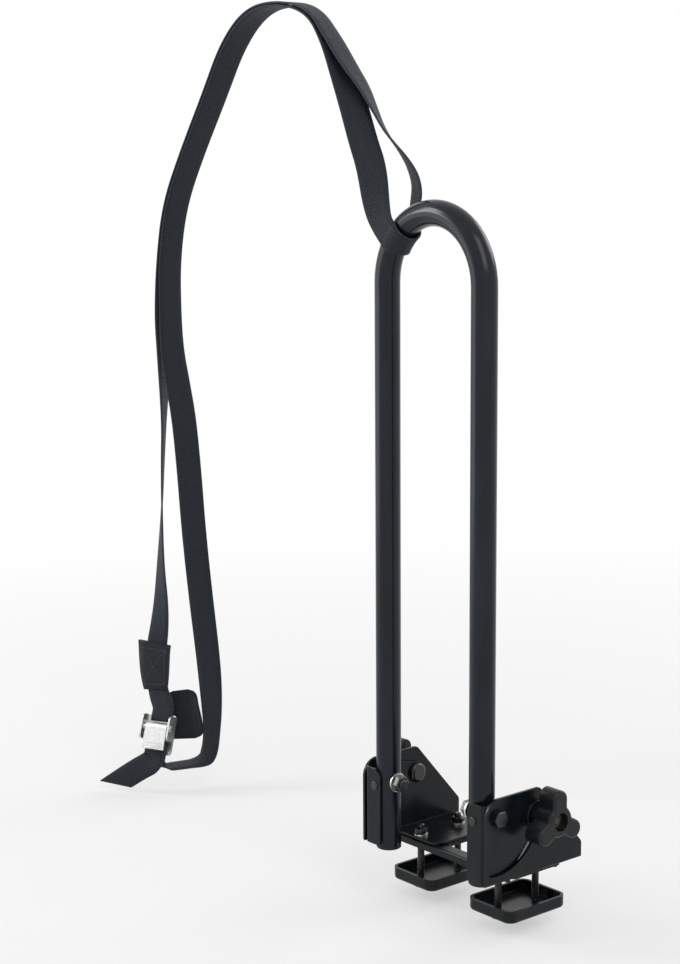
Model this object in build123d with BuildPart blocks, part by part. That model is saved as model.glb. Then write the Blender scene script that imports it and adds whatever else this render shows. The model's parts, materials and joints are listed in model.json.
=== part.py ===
"""Folding upright kayak carrier for a roof bar: a bent tube cradle that folds on a clamp-on base, with its strap.

Millimetres. X runs along the roof bar, Y across it, Z up. The origin is the middle of the bar's top face.
"""

import os
from math import cos, degrees, radians, sin

from build123d import *

os.makedirs("parts", exist_ok=True)

# Roof bar that the carrier clamps to
BAR_W = 32.0
BAR_H = 22.0

# Cradle: one steel tube bent into an upright hairpin
TUBE_OD = 22.0
TUBE_WALL = 1.5
LEG_SPACING = 117.5
BEND_Z = 497.0
TUBE_END_Z = 1.0
CAP_FLANGE = 2.5
CAP_PLUG = 14.0
CAP_FIT = 0.1

# Fold pivot and the stud that locks it
PIVOT_Y = -52.0
PIVOT_Z = 60.5
PIVOT_D = 8.0
STUD_D = 8.0
STUD_REACH = 46.0
STUD_ANGLE = -8.0
FOLD_ANGLE = 90.0
RUN_FIT = 0.05
SEAT_FIT = 0.1

# Sheet steel of the brackets and lock arms
SHEET = 2.5
SIDE_REACH = 19.25
SIDE_FRONT_Y = -65.5
SIDE_REAR_Y = 49.0
SIDE_TOP_Z = 77.0
SIDE_TOP_REAR_Y = -3.0
SIDE_REAR_Z = 17.5
SIDE_CORNER_R = 15.0
SIDE_BEND_R = 5.0
SLOT_FIT = 1.0
WASHER_GAP = 0.5
FOOT_FRONT_Y = -29.0
FOOT_REAR_Y = 40.0
FOOT_L = 57.0
FOOT_CORNER_R = 9.0

# Lock arm: a folded sheet riveted to each leg, with an eye for the stud
ARM_COVER = 3.55
WEB_CORNER_R = 9.0
ARM_LOW_Z = 3.0
ARM_TOP_Z = 72.0
ARM_LOW_Y = -33.0
ARM_EYE_R = 9.5
ARM_BEND_R = 4.0
RIVET_D = 4.0
RIVET_HEAD_D = 8.0
RIVET_HEAD_H = 1.4
RIVET_OFF = 3.25
RIVET_Z = 57.0

# Base plate that ties the two brackets together on top of the bar
BASE_INSET = 4.0
BASE_W = 60.0
BASE_T = 3.0
BASE_LIP = 4.0
BASE_CORNER_R = 6.0
WINDOW_L = 40.0
WINDOW_W = 36.0
WINDOW_R = 5.0

# Clamp trays and their bolts under the bar
BOLT_IN = 29.0
BOLT_D = 6.0
BOLT_ROOM = 3.5
BOLT_Y = BAR_W / 2 + BOLT_ROOM + BOLT_D / 2
HOLE_FIT = 0.6
TRAY_L = 54.0
TRAY_W = 70.0
TRAY_H = 11.0
TRAY_SLACK = 6.0
TRAY_WALL = 2.5
TRAY_CORNER_R = 9.0
TRAY_EDGE_R = 3.0
BOLT_HEAD_D = 14.0
BOLT_HEAD_H = 3.5
BOLT_NECK = 6.0
BOLT_SPARE = 4.0

# Fasteners
HEX_M6 = 10.0
NUT_M6 = 5.0
HEX_M8 = 13.0
NUT_M8 = 6.5
HEAD_M8 = 5.3
WASHER_M6_D = 12.5
WASHER_M8_D = 17.0
WASHER_T = 1.5
STUD_HEAD_D = 18.0
STUD_HEAD_H = 4.2
HEX_EDGE = 0.8

# Three-lobed clamp knob
KNOB_LOBES = 3
KNOB_TIP_R = 27.0
KNOB_LOBE_R = 8.0
KNOB_HUB_R = 13.5
KNOB_BASE_R = 11.0
KNOB_NECK = 9.0
KNOB_DEPTH = 18.0
KNOB_EDGE_R = 2.5
KNOB_RECESS_R = 8.0
KNOB_RECESS = 6.0
KNOB_FILLET = 7.0
INSERT_R = 6.0
LOCK_WASHER_D = 24.0

# Strap: flat webbing that loops round the bend and the bar, with a cam buckle
WEB_W = 25.0
WEB_T = 1.8
WRAP_ANGLE = 131.0
WRAP_FIT = 0.3
WRAP_OVER = 2.0
CORD_FIT = 0.1
CORD_LEAD = 8.0
STRAND_SPLIT_Z = 345.0
SLEEVE_W = 33.0
SLEEVE_T = 6.0
SLEEVE_FIT = 0.8
SLEEVE_EDGE_R = 2.0

# Cam buckle, lying on the front upper edge of the bar
BUCKLE_AT = (-450.0, -26.5, 8.0)
BUCKLE_TILT = 22.0
BUCKLE_TURN = 25.0
BUCKLE_W = 34.0
BUCKLE_L = 42.0
BUCKLE_WALL = 2.0
BUCKLE_CORNER_R = 4.0
EAR_L = 26.0
EAR_OVER = 5.0
EAR_CORNER_R = 5.0
CAM_PIN_D = 5.0
CAM_PIN_Y = 6.0
CAM_PIN_Z = 10.0
PIN_HEAD_D = 7.0
PIN_HEAD_H = 1.2
CAM_R = 5.4
CAM_TEETH = 5
CAM_TOOTH_R = 0.7
CAM_SIDE_FIT = 0.4
LEVER_T = 2.0
LEVER_L = 23.0
SPRING_WIRE = 1.2
SPRING_W = 4.0
PAD_W = 36.0
PAD_L = 62.0
PAD_T = 3.0
PAD_AT = (6.0, 13.0)
PAD_CORNER_R = 9.0
PAD_FIT = 0.7

# Sizes that follow from those above
LEG_X = LEG_SPACING / 2
TUBE_R = TUBE_OD / 2
SIDE_OUT_X = LEG_X + SIDE_REACH
BASE_L = 2 * (SIDE_OUT_X - BASE_INSET)
FOOT_IN_X = SIDE_OUT_X - FOOT_L
BOLT_X = SIDE_OUT_X - BOLT_IN
WEB_IN_X = LEG_X - ARM_COVER
RIVET_X = LEG_X + RIVET_OFF
SIDE_IN_X = SIDE_OUT_X - SHEET
ARM_OUT_X = SIDE_IN_X - WASHER_GAP
ARM_IN_X = ARM_OUT_X - SHEET
WEB_FRONT_Y = PIVOT_Y - TUBE_R - RUN_FIT - SHEET
STUD_Y = PIVOT_Y + STUD_REACH * cos(radians(STUD_ANGLE))
STUD_Z = PIVOT_Z + STUD_REACH * sin(radians(STUD_ANGLE))
SIDE_LOW_Z = BASE_T
FOOT_TOP_Z = BASE_T + SHEET
LOCK_WASHER_X = SIDE_OUT_X + SEAT_FIT
KNOB_X = LOCK_WASHER_X + WASHER_T + SEAT_FIT
KNOB_STAR_X = KNOB_X + KNOB_NECK
KNOB_FRONT_X = KNOB_STAR_X + KNOB_DEPTH
TRAY_TOP_Z = -BAR_H - TRAY_SLACK
TRAY_LOW_Z = TRAY_TOP_Z - TRAY_H
NUT_Z = FOOT_TOP_Z + WASHER_T
BOLT_TOP_Z = NUT_Z + NUT_M6 + BOLT_SPARE


def save(part, name):
    """Writes one node."""
    part.label = name
    export_step(part, f"parts/{name}.step")


def save_pair(right, name):
    """Writes a piece of the right side and its mirror image on the left."""
    save(mirror(right, about=Plane.YZ), f"{name}_left")
    save(right, f"{name}_right")


def across(x, y=0.0, z=0.0):
    """Plane that faces +X at a point, with its own x along Y and its own y along Z."""
    return Plane(origin=(x, y, z), x_dir=(0, 1, 0), z_dir=(1, 0, 0))


# Base plate: pressed sheet with turned-down lips and a window over the bar
with BuildPart() as base_plate:
    with BuildSketch():
        RectangleRounded(BASE_L, BASE_W, BASE_CORNER_R)
        RectangleRounded(WINDOW_L, WINDOW_W, WINDOW_R, mode=Mode.SUBTRACT)
        with GridLocations(2 * BOLT_X, 2 * BOLT_Y, 2, 2):
            Circle(BOLT_D / 2 + HOLE_FIT, mode=Mode.SUBTRACT)
    extrude(amount=BASE_T)
    with BuildSketch(Plane.XY.offset(-BASE_LIP)):
        with GridLocations(0, BASE_W - BASE_T, 1, 2):
            Rectangle(BASE_L - 2 * BASE_CORNER_R, BASE_T)
    extrude(amount=BASE_LIP)
    rims = base_plate.faces().sort_by(Axis.Z)[-1].outer_wire().edges().filter_by(Axis.X)
    fillet(rims, BASE_T * 0.6)
save(base_plate.part, "base_plate")

# Centre line of the arc slot, in the bracket's own plane
slot_line = CenterArc((PIVOT_Y, PIVOT_Z), STUD_REACH, STUD_ANGLE, -FOLD_ANGLE)

# Side bracket: upright plate with the pivot hole and the arc slot, and a foot turned in over the base plate
with BuildPart() as side_bracket:
    with BuildSketch(across(SIDE_IN_X)) as upright:
        with BuildLine():
            FilletPolyline(
                (SIDE_REAR_Y, SIDE_LOW_Z),
                (SIDE_REAR_Y, SIDE_REAR_Z),
                (SIDE_TOP_REAR_Y, SIDE_TOP_Z),
                (SIDE_FRONT_Y, SIDE_TOP_Z),
                (SIDE_FRONT_Y, SIDE_LOW_Z),
                radius=[SIDE_BEND_R, SIDE_BEND_R, SIDE_CORNER_R],
            )
            Line((SIDE_FRONT_Y, SIDE_LOW_Z), (SIDE_REAR_Y, SIDE_LOW_Z))
        make_face()
        with Locations((PIVOT_Y, PIVOT_Z)):
            Circle(PIVOT_D / 2 + RUN_FIT, mode=Mode.SUBTRACT)
        SlotArc(slot_line, STUD_D + SLOT_FIT, mode=Mode.SUBTRACT)
    extrude(amount=SHEET)
    with BuildSketch(Plane.XY.offset(SIDE_LOW_Z)):
        with BuildLine():
            FilletPolyline(
                (SIDE_OUT_X, FOOT_FRONT_Y),
                (FOOT_IN_X, FOOT_FRONT_Y),
                (FOOT_IN_X, FOOT_REAR_Y),
                (SIDE_OUT_X, FOOT_REAR_Y),
                radius=FOOT_CORNER_R,
            )
            Line((SIDE_OUT_X, FOOT_REAR_Y), (SIDE_OUT_X, FOOT_FRONT_Y))
        make_face()
        with Locations((BOLT_X, -BOLT_Y), (BOLT_X, BOLT_Y)):
            Circle(BOLT_D / 2 + HOLE_FIT, mode=Mode.SUBTRACT)
    extrude(amount=SHEET)
    heel = side_bracket.edges().filter_by(Axis.Y).group_by(Axis.Z)[0].sort_by(Axis.X)[-1]
    fillet(heel, SHEET * 0.7)
save_pair(side_bracket.part, "side_bracket")

# Cradle tube: two legs and a half-round bend, drilled for the pivot bolts and the rivets
with BuildPart() as cradle_tube:
    with BuildLine(Plane.XZ.offset(-PIVOT_Y)) as hairpin:
        up = Line((-LEG_X, TUBE_END_Z), (-LEG_X, BEND_Z))
        over = ThreePointArc(up @ 1, (0, BEND_Z + LEG_X), (LEG_X, BEND_Z))
        Line(over @ 1, (LEG_X, TUBE_END_Z))
    with BuildSketch(Plane((-LEG_X, PIVOT_Y, TUBE_END_Z))):
        Circle(TUBE_R)
        Circle(TUBE_R - TUBE_WALL, mode=Mode.SUBTRACT)
    sweep(path=hairpin.wires()[0])
    for leg in (-LEG_X, LEG_X):
        with BuildSketch(across(leg - TUBE_OD, PIVOT_Y, PIVOT_Z)):
            Circle(PIVOT_D / 2 + RUN_FIT)
        extrude(amount=2 * TUBE_OD, mode=Mode.SUBTRACT)
    for rivet_x in (-RIVET_X, RIVET_X):
        with BuildSketch(Plane.XZ.offset(-PIVOT_Y)):
            with Locations((rivet_x, RIVET_Z)):
                Circle(RIVET_D / 2 + RUN_FIT)
        extrude(amount=TUBE_OD, mode=Mode.SUBTRACT)
save(cradle_tube.part, "cradle_tube")

# End cap: moulded plug with a rounded flange that closes the leg
with BuildPart() as end_cap:
    with BuildSketch(Plane((LEG_X, PIVOT_Y, TUBE_END_Z - CAP_FLANGE))):
        Circle(TUBE_R)
    extrude(amount=CAP_FLANGE)
    fillet(end_cap.edges().sort_by(Axis.Z)[0], CAP_FLANGE * 0.6)
    with BuildSketch(Plane((LEG_X, PIVOT_Y, TUBE_END_Z))):
        Circle(TUBE_R - TUBE_WALL - CAP_FIT)
        Circle(TUBE_R - 2 * TUBE_WALL - CAP_FIT, mode=Mode.SUBTRACT)
    extrude(amount=CAP_PLUG)
save_pair(end_cap.part, "end_cap")

# Lock arm: gusset beside the leg with the stud's eye, folded into a web across the front of the leg
with BuildPart() as lock_arm:
    with BuildSketch(across(ARM_IN_X)) as gusset:
        with Locations((STUD_Y, STUD_Z)):
            Circle(ARM_EYE_R)
        with BuildLine():
            Polyline(
                (WEB_FRONT_Y, ARM_LOW_Z),
                (ARM_LOW_Y, ARM_LOW_Z + FOOT_TOP_Z),
                (PIVOT_Y + TUBE_R, ARM_TOP_Z),
                (WEB_FRONT_Y, ARM_TOP_Z),
                close=True,
            )
        make_face()
        make_hull()
        with Locations((PIVOT_Y, PIVOT_Z)):
            Circle(PIVOT_D / 2 + RUN_FIT, mode=Mode.SUBTRACT)
        with Locations((STUD_Y, STUD_Z)):
            Circle(STUD_D / 2 + RUN_FIT, mode=Mode.SUBTRACT)
    extrude(amount=SHEET)
    with BuildSketch(Plane.XZ.offset(-WEB_FRONT_Y)):
        with BuildLine():
            FilletPolyline(
                (ARM_OUT_X, ARM_LOW_Z),
                (WEB_IN_X, ARM_LOW_Z),
                (WEB_IN_X, ARM_TOP_Z),
                (ARM_OUT_X, ARM_TOP_Z),
                radius=[WEB_CORNER_R / 2, WEB_CORNER_R],
            )
            Line((ARM_OUT_X, ARM_TOP_Z), (ARM_OUT_X, ARM_LOW_Z))
        make_face()
        with Locations((RIVET_X, RIVET_Z)):
            Circle(RIVET_D / 2 + RUN_FIT, mode=Mode.SUBTRACT)
    extrude(amount=-SHEET)
    fold = lock_arm.edges().filter_by(Axis.Z).group_by(Axis.X)[-1].sort_by(Axis.Y)[0]
    fillet(fold, ARM_BEND_R)
save_pair(lock_arm.part, "lock_arm")

# Rivet that holds the web to the leg
with BuildPart() as arm_rivet:
    with BuildSketch(Plane((RIVET_X, WEB_FRONT_Y, RIVET_Z), x_dir=(1, 0, 0), z_dir=(0, -1, 0))):
        Circle(RIVET_HEAD_D / 2)
    extrude(amount=RIVET_HEAD_H)
    fillet(arm_rivet.edges().sort_by(Axis.Y)[0], RIVET_HEAD_H * 0.8)
    with BuildSketch(Plane((RIVET_X, WEB_FRONT_Y, RIVET_Z), x_dir=(1, 0, 0), z_dir=(0, 1, 0))):
        Circle(RIVET_D / 2)
    extrude(amount=SHEET + RUN_FIT + 2 * TUBE_WALL)
save_pair(arm_rivet.part, "arm_rivet")

# Pivot bolt: hex head outside the bracket, shank through bracket, arm and leg
PIVOT_WASHER_X = LEG_X - TUBE_R - RUN_FIT - WASHER_T
PIVOT_NUT_X = PIVOT_WASHER_X - NUT_M8
PIVOT_TIP_X = PIVOT_NUT_X - WASHER_T
with BuildPart() as pivot_bolt:
    with BuildSketch(across(SIDE_OUT_X + SEAT_FIT, PIVOT_Y, PIVOT_Z)):
        RegularPolygon(HEX_M8 / 2, 6, major_radius=False)
    extrude(amount=HEAD_M8)
    chamfer(pivot_bolt.faces().sort_by(Axis.X)[-1].edges(), HEX_EDGE)
    with BuildSketch(across(PIVOT_TIP_X, PIVOT_Y, PIVOT_Z)):
        Circle(PIVOT_D / 2)
    extrude(amount=SIDE_OUT_X + SEAT_FIT - PIVOT_TIP_X)
    chamfer(pivot_bolt.edges().sort_by(Axis.X)[0], HEX_EDGE)
save_pair(pivot_bolt.part, "pivot_bolt")

# Pivot nut inside the leg's inner face
with BuildPart() as pivot_nut:
    with BuildSketch(across(PIVOT_NUT_X, PIVOT_Y, PIVOT_Z)):
        RegularPolygon(HEX_M8 / 2, 6, major_radius=False)
        Circle(PIVOT_D / 2 + RUN_FIT, mode=Mode.SUBTRACT)
    extrude(amount=NUT_M8)
    chamfer(pivot_nut.faces().sort_by(Axis.X)[0].outer_wire().edges(), HEX_EDGE)
save_pair(pivot_nut.part, "pivot_nut")


def ring(x, y, z, outer_d, bore_d, thickness):
    """Flat washer that faces along X."""
    with BuildPart() as washer:
        with BuildSketch(across(x, y, z)):
            Circle(outer_d / 2)
            Circle(bore_d / 2 + RUN_FIT, mode=Mode.SUBTRACT)
        extrude(amount=thickness)
    return washer.part


SPACER_X = LEG_X + TUBE_R + RUN_FIT
save_pair(ring(PIVOT_WASHER_X, PIVOT_Y, PIVOT_Z, WASHER_M8_D, PIVOT_D, WASHER_T), "pivot_washer")
save_pair(ring(SPACER_X, PIVOT_Y, PIVOT_Z, WASHER_M8_D, PIVOT_D, ARM_IN_X - SPACER_X), "pivot_spacer")
save_pair(ring(ARM_OUT_X, PIVOT_Y, PIVOT_Z, WASHER_M8_D, PIVOT_D, WASHER_GAP - SEAT_FIT), "pivot_shim")
save_pair(ring(ARM_OUT_X, STUD_Y, STUD_Z, WASHER_M8_D, STUD_D, WASHER_GAP - SEAT_FIT), "slot_shim")
save_pair(ring(LOCK_WASHER_X, STUD_Y, STUD_Z, LOCK_WASHER_D, STUD_D, WASHER_T), "lock_washer")

# Lock stud: carriage bolt in the arm's eye, its domed head inside and its thread in the knob
with BuildPart() as lock_stud:
    with BuildSketch(across(ARM_IN_X - STUD_HEAD_H, STUD_Y, STUD_Z)):
        Circle(STUD_HEAD_D / 2)
    extrude(amount=STUD_HEAD_H)
    fillet(lock_stud.edges().sort_by(Axis.X)[0], STUD_HEAD_H * 0.8)
    with BuildSketch(across(ARM_IN_X, STUD_Y, STUD_Z)):
        Circle(STUD_D / 2)
    extrude(amount=KNOB_FRONT_X - KNOB_RECESS - ARM_IN_X + WASHER_T)
    chamfer(lock_stud.edges().sort_by(Axis.X)[-1], HEX_EDGE)
save_pair(lock_stud.part, "lock_stud")

# Knob: moulded star on a tapered neck, with a recess in its face and a bore for its threaded insert
with BuildPart() as knob:
    with BuildSketch(across(KNOB_X, STUD_Y, STUD_Z)):
        Circle(KNOB_BASE_R)
    with BuildSketch(across(KNOB_STAR_X, STUD_Y, STUD_Z)):
        Circle(KNOB_HUB_R)
    loft()
    with BuildSketch(across(KNOB_STAR_X, STUD_Y, STUD_Z)) as star:
        Circle(KNOB_HUB_R)
        with PolarLocations((KNOB_TIP_R - KNOB_LOBE_R) / 2, KNOB_LOBES, start_angle=90):
            Rectangle(KNOB_TIP_R - KNOB_LOBE_R, 2 * KNOB_LOBE_R)
        with PolarLocations(KNOB_TIP_R - KNOB_LOBE_R, KNOB_LOBES, start_angle=90):
            Circle(KNOB_LOBE_R)
        hollows = star.vertices().sort_by_distance((0, 0, 0))[: 2 * KNOB_LOBES]
        fillet(hollows, KNOB_FILLET / 2)
    extrude(amount=KNOB_DEPTH)
    fillet(knob.faces().sort_by(Axis.X)[-1].edges(), KNOB_EDGE_R)
    with BuildSketch(across(KNOB_FRONT_X, STUD_Y, STUD_Z)):
        Circle(KNOB_RECESS_R)
    extrude(amount=-KNOB_RECESS, mode=Mode.SUBTRACT)
    with BuildSketch(across(KNOB_X, STUD_Y, STUD_Z)):
        Circle(INSERT_R)
    extrude(amount=KNOB_FRONT_X - KNOB_X, mode=Mode.SUBTRACT)
save_pair(knob.part, "knob")

# Threaded brass insert moulded into the knob
with BuildPart() as knob_insert:
    with BuildSketch(across(KNOB_X, STUD_Y, STUD_Z)):
        Circle(INSERT_R)
        Circle(STUD_D / 2 + RUN_FIT, mode=Mode.SUBTRACT)
    extrude(amount=KNOB_FRONT_X - KNOB_RECESS - KNOB_X)
save_pair(knob_insert.part, "knob_insert")

# Clamp tray: pressed pan under the bar, its rim against the bar's lower face
with BuildPart() as clamp_tray:
    with BuildSketch(Plane((BOLT_X, 0, TRAY_LOW_Z))):
        RectangleRounded(TRAY_L, TRAY_W, TRAY_CORNER_R)
    extrude(amount=TRAY_H)
    fillet(clamp_tray.faces().sort_by(Axis.Z)[0].edges(), TRAY_EDGE_R)
    with BuildSketch(Plane((BOLT_X, 0, TRAY_LOW_Z + TRAY_WALL))):
        RectangleRounded(TRAY_L - 2 * TRAY_WALL, TRAY_W - 2 * TRAY_WALL, TRAY_CORNER_R - TRAY_WALL)
    extrude(amount=TRAY_H, mode=Mode.SUBTRACT)
    with BuildSketch(Plane((BOLT_X, 0, TRAY_LOW_Z))):
        with GridLocations(0, 2 * BOLT_Y, 1, 2):
            Rectangle(BOLT_NECK + 2 * HOLE_FIT, BOLT_NECK + 2 * HOLE_FIT)
    extrude(amount=TRAY_WALL, mode=Mode.SUBTRACT)
save_pair(clamp_tray.part, "clamp_tray")

# Clamp bolts: carriage bolts up through tray, base plate and foot, one each side of the bar
with BuildPart() as clamp_bolts:
    with BuildSketch(Plane((BOLT_X, 0, TRAY_LOW_Z - BOLT_HEAD_H))):
        with GridLocations(0, 2 * BOLT_Y, 1, 2):
            Circle(BOLT_HEAD_D / 2)
    extrude(amount=BOLT_HEAD_H)
    fillet(clamp_bolts.edges().group_by(Axis.Z)[0], BOLT_HEAD_H * 0.8)
    with BuildSketch(Plane((BOLT_X, 0, TRAY_LOW_Z))):
        with GridLocations(0, 2 * BOLT_Y, 1, 2):
            Rectangle(BOLT_NECK, BOLT_NECK)
    extrude(amount=TRAY_WALL)
    with BuildSketch(Plane((BOLT_X, 0, TRAY_LOW_Z))):
        with GridLocations(0, 2 * BOLT_Y, 1, 2):
            Circle(BOLT_D / 2)
    extrude(amount=BOLT_TOP_Z - TRAY_LOW_Z)
    chamfer(clamp_bolts.edges().group_by(Axis.Z)[-1], HEX_EDGE)
save_pair(clamp_bolts.part, "clamp_bolts")

# Washers and nuts on top of the feet
with BuildPart() as clamp_washers:
    with BuildSketch(Plane((BOLT_X, 0, FOOT_TOP_Z))):
        with GridLocations(0, 2 * BOLT_Y, 1, 2):
            Circle(WASHER_M6_D / 2)
            Circle(BOLT_D / 2 + RUN_FIT, mode=Mode.SUBTRACT)
    extrude(amount=WASHER_T)
save_pair(clamp_washers.part, "clamp_washers")

with BuildPart() as clamp_nuts:
    with BuildSketch(Plane((BOLT_X, 0, NUT_Z))):
        with GridLocations(0, 2 * BOLT_Y, 1, 2):
            RegularPolygon(HEX_M6 / 2, 6, major_radius=False)
            Circle(BOLT_D / 2 + RUN_FIT, mode=Mode.SUBTRACT)
    extrude(amount=NUT_M6)
save_pair(clamp_nuts.part, "clamp_nuts")


def webbing_plane(route, index):
    """Plane across the webbing at one (x, y, z, turn, rise) station; the two angles point its width."""
    place = Vector(*route[index][:3])
    ahead = Vector(*route[min(index + 1, len(route) - 1)][:3])
    behind = Vector(*route[max(index - 1, 0)][:3])
    along = (ahead - behind).normalized()
    turn, rise = (radians(angle) for angle in route[index][3:])
    wide = Vector(cos(rise) * cos(turn), cos(rise) * sin(turn), sin(rise))
    return Plane(place, x_dir=wide - along * wide.dot(along), z_dir=along)


def ribbon(route, first=0, last=None):
    """Flat webbing along the stations of a route from first to last, one straight span from each to the next."""
    planes = [webbing_plane(route, index) for index in range(len(route))][first:last]
    with BuildPart() as webbing:
        for near, far in zip(planes, planes[1:]):
            with BuildSketch(near, far):
                Rectangle(WEB_W, WEB_T)
            loft(ruled=True)
    return webbing.part


def save_strand(route, name):
    """Writes a strand as its upper length, which goes with the cradle, and its lower length, which stays by the bar."""
    split = next(index for index, station in enumerate(route) if station[2] < STRAND_SPLIT_Z)
    save(ribbon(route, last=split + 1), f"{name}_upper")
    save(ribbon(route, first=split), f"{name}_lower")


# Strap wrap: the webbing's turn round the inside of the bend
WRAP_R = TUBE_R + WRAP_FIT
WRAP_SPAN = degrees(WEB_W / LEG_X)
WRAP_MID_R = WRAP_R + WEB_T / 2
with BuildPart() as strap_wrap:
    start = radians(WRAP_ANGLE - WRAP_SPAN / 2)
    outward = (cos(start), 0, sin(start))
    onward = (sin(start), 0, -cos(start))
    with BuildSketch(Plane((0, PIVOT_Y, BEND_Z), x_dir=outward, z_dir=onward)):
        with Locations((LEG_X, 0)):
            Circle(WRAP_R + WEB_T)
            Circle(WRAP_R, mode=Mode.SUBTRACT)
        with Locations((LEG_X + WRAP_OVER + TUBE_OD, 0)):
            Rectangle(2 * TUBE_OD, 2 * TUBE_OD, mode=Mode.SUBTRACT)
    revolve(axis=Axis((0, PIVOT_Y, BEND_Z), (0, -1, 0)), revolution_arc=WRAP_SPAN)
save(strap_wrap.part, "strap_wrap")

# The buckle's own plane: x across it, y up its length, z out of its face
TILT = radians(BUCKLE_TILT)
TURN = radians(BUCKLE_TURN)
BUCKLE_FACE = (sin(TURN) * cos(TILT), -cos(TURN) * cos(TILT), sin(TILT))
BUCKLE = Plane(BUCKLE_AT, x_dir=(cos(TURN), sin(TURN), 0), z_dir=BUCKLE_FACE)
PIN = BUCKLE.from_local_coords(Vector(0, CAM_PIN_Y, CAM_PIN_Z))
BUCKLE_END = BUCKLE_L / 2 + CORD_FIT
TAIL_LIFT = BUCKLE_WALL + CORD_FIT + WEB_T / 2


def off_wrap(lead, y):
    """Point where a strand has left the end of the wrap by the given lead."""
    reach = LEG_X + WRAP_OVER + CORD_FIT + lead
    return reach * cos(radians(WRAP_ANGLE)), PIVOT_Y + y, BEND_Z + reach * sin(radians(WRAP_ANGLE))


def on_buckle(y, z):
    """Point on the buckle's middle line, from its length and its face."""
    return tuple(BUCKLE.from_local_coords(Vector(0, y, z)))


# Back strand: from behind the bend, over the crest and down to the buckle
BACK_ROUTE = [
    (*off_wrap(0, WRAP_MID_R), 0, WRAP_ANGLE - 90),
    (*off_wrap(CORD_LEAD, WRAP_MID_R), 0, WRAP_ANGLE - 90),
    (-47, -32, 567, -12, 36),
    (-52, -31, 589, -25, 18),
    (-68, -33, 609, -38, 6),
    (-81, -35, 625, -47, 0),
    (-92, -37, 646, -66, 0),
    (-106, -39, 671, -84, 0),
    (-129, -40, 700, -93, 0),
    (-167, -39, 723, -97, 0),
    (-209, -37, 734, -97, 0),
    (-258, -34, 731, -97, 0),
    (-300, -29, 703, -97, 0),
    (-339, -24, 660, -97, 0),
    (-381, -20, 610, -97, 0),
    (-418, -17, 558, -97, 0),
    (-434, -15, 502, -95, 0),
    (-442, -14, 449, -91, 0),
    (-446, -13, 409, -77, 0),
    (-450, -13, 340, -53, 0),
    (-454, -13, 297, -46, 0),
    (-456, -14, 244, -40, 0),
    (-459, -15, 186, -25, 0),
    (-458, -16, 146, -4, 0),
    (-461, -17, 118, 10, 0),
    (-466, -18, 96, 22, 0),
    (-465, -19, 52, 22, 0),
    (*on_buckle(BUCKLE_END + CORD_LEAD, BUCKLE_WALL / 2), BUCKLE_TURN, 0),
    (*on_buckle(BUCKLE_END, BUCKLE_WALL / 2), BUCKLE_TURN, 0),
]
save_strand(BACK_ROUTE, "strap_back")

# Front strand: from the front of the bend, under the back strand, down behind the bar and round it
FRONT_ROUTE = [
    (*off_wrap(0, -WRAP_MID_R), 0, WRAP_ANGLE - 90),
    (*off_wrap(CORD_LEAD, -WRAP_MID_R), 0, WRAP_ANGLE - 90),
    (-57, -63.5, 561, 25, 30),
    (-69, -60, 592, 45, 8),
    (-85, -56, 615, 50, 0),
    (-101, -51.5, 642, 53, 0),
    (-119, -47, 668, 60, 0),
    (-139, -43.5, 694, 71, 0),
    (-168, -39, 719, 83, 0),
    (-209, -37, 730.5, 83, 0),
    (-257, -34, 727, 83, 0),
    (-298, -29, 700, 83, 0),
    (-336, -24, 658, 83, 0),
    (-378, -20, 608, 83, 0),
    (-414.5, -17, 556, 83, 0),
    (-430, -15, 501, 85, 0),
    (-436, -12, 449, 82, 0),
    (-436, -11, 411, 72, 0),
    (-430, -9, 377, 64, 0),
    (-423, -7, 340, 60, 0),
    (-420, -4, 284, 57, 0),
    (-419, -1.5, 237, 55, 0),
    (-417, 1, 195, 52, 0),
    (-414, 4, 149, 50, 0),
    (-412, 7.5, 109, 47, 0),
    (-412, 11, 76, 41, 0),
    (-415, 15, 42, 26, 0),
    (-420, 18.5, 13, 8, 0),
    (-424, 18.5, -14, 4, 0),
    (-428, 12, -25, 4, 0),
    (-438, -14, -26, 12, 0),
    (-443, -30, -26, 20, 0),
    (*on_buckle(-BUCKLE_END - CORD_LEAD, BUCKLE_WALL / 2), BUCKLE_TURN, 0),
    (*on_buckle(-BUCKLE_END, BUCKLE_WALL / 2), BUCKLE_TURN, 0),
]
save_strand(FRONT_ROUTE, "strap_front")

# Tail: the loose end that the buckle lets out
TAIL_ROUTE = [
    (*on_buckle(-CORD_LEAD, TAIL_LIFT), BUCKLE_TURN, 0),
    (*on_buckle(-BUCKLE_END, TAIL_LIFT), BUCKLE_TURN, 0),
    (*on_buckle(-BUCKLE_END - CORD_LEAD, 2 * TAIL_LIFT), BUCKLE_TURN, 0),
    (-453, -55, -28, 26, 0),
    (-471, -69, -41, 30, 0),
]
save(ribbon(TAIL_ROUTE), "strap_tail")

# Sewn sleeve that doubles the webbing above the buckle
SLEEVE_TOP = Vector(*BACK_ROUTE[-4][:3])
SLEEVE_LOW = Vector(*BACK_ROUTE[-3][:3])
SLEEVE_TURN = radians(BACK_ROUTE[-4][3])
with BuildPart() as strap_sleeve:
    across_sleeve = (cos(SLEEVE_TURN), sin(SLEEVE_TURN), 0)
    with BuildSketch(Plane(SLEEVE_TOP, x_dir=across_sleeve, z_dir=SLEEVE_LOW - SLEEVE_TOP)):
        RectangleRounded(SLEEVE_W, SLEEVE_T, SLEEVE_EDGE_R)
        Rectangle(WEB_W + 2 * SLEEVE_FIT, WEB_T + 2 * SLEEVE_FIT, mode=Mode.SUBTRACT)
    extrude(amount=(SLEEVE_LOW - SLEEVE_TOP).length)
save(strap_sleeve.part, "strap_sleeve")


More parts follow.
